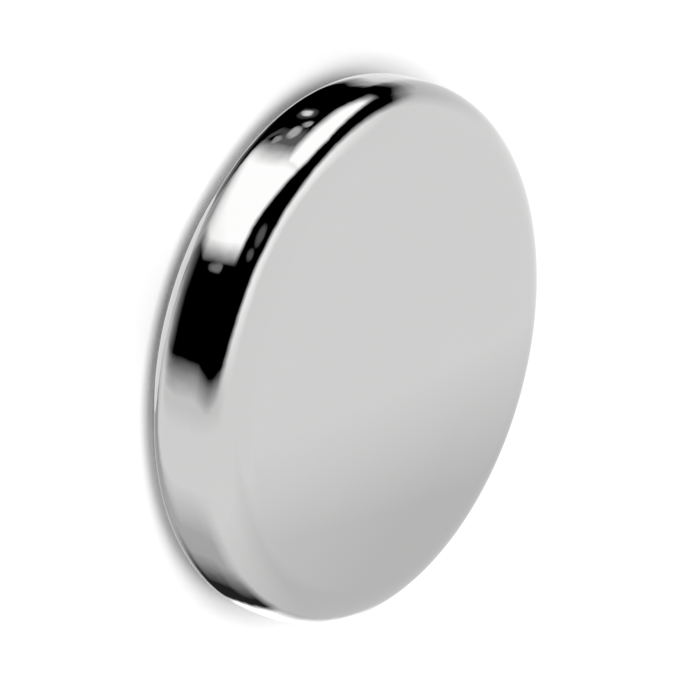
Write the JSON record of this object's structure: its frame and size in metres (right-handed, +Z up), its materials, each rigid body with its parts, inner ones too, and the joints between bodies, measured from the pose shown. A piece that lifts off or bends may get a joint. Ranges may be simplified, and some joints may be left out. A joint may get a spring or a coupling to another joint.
{
  "type": "disc magnet",
  "caption": "Thin round permanent magnet with two flat faces, a straight rim and heavily rounded edges, polished nickel plated.",
  "frame": {"origin": "centre of the lower face, on the surface that the disc lies on", "axes": "+Z up along the disc's axis, from the lower face to the upper one; the disc is the same all round, so +X and +Y are free"},
  "size_m": [0.02, 0.02, 0.004],
  "materials": {
    "bright_nickel": "polished"
  },
  "bodies": {
    "root": {"disc_magnet": "bright_nickel"}
  },
  "joints": []
}
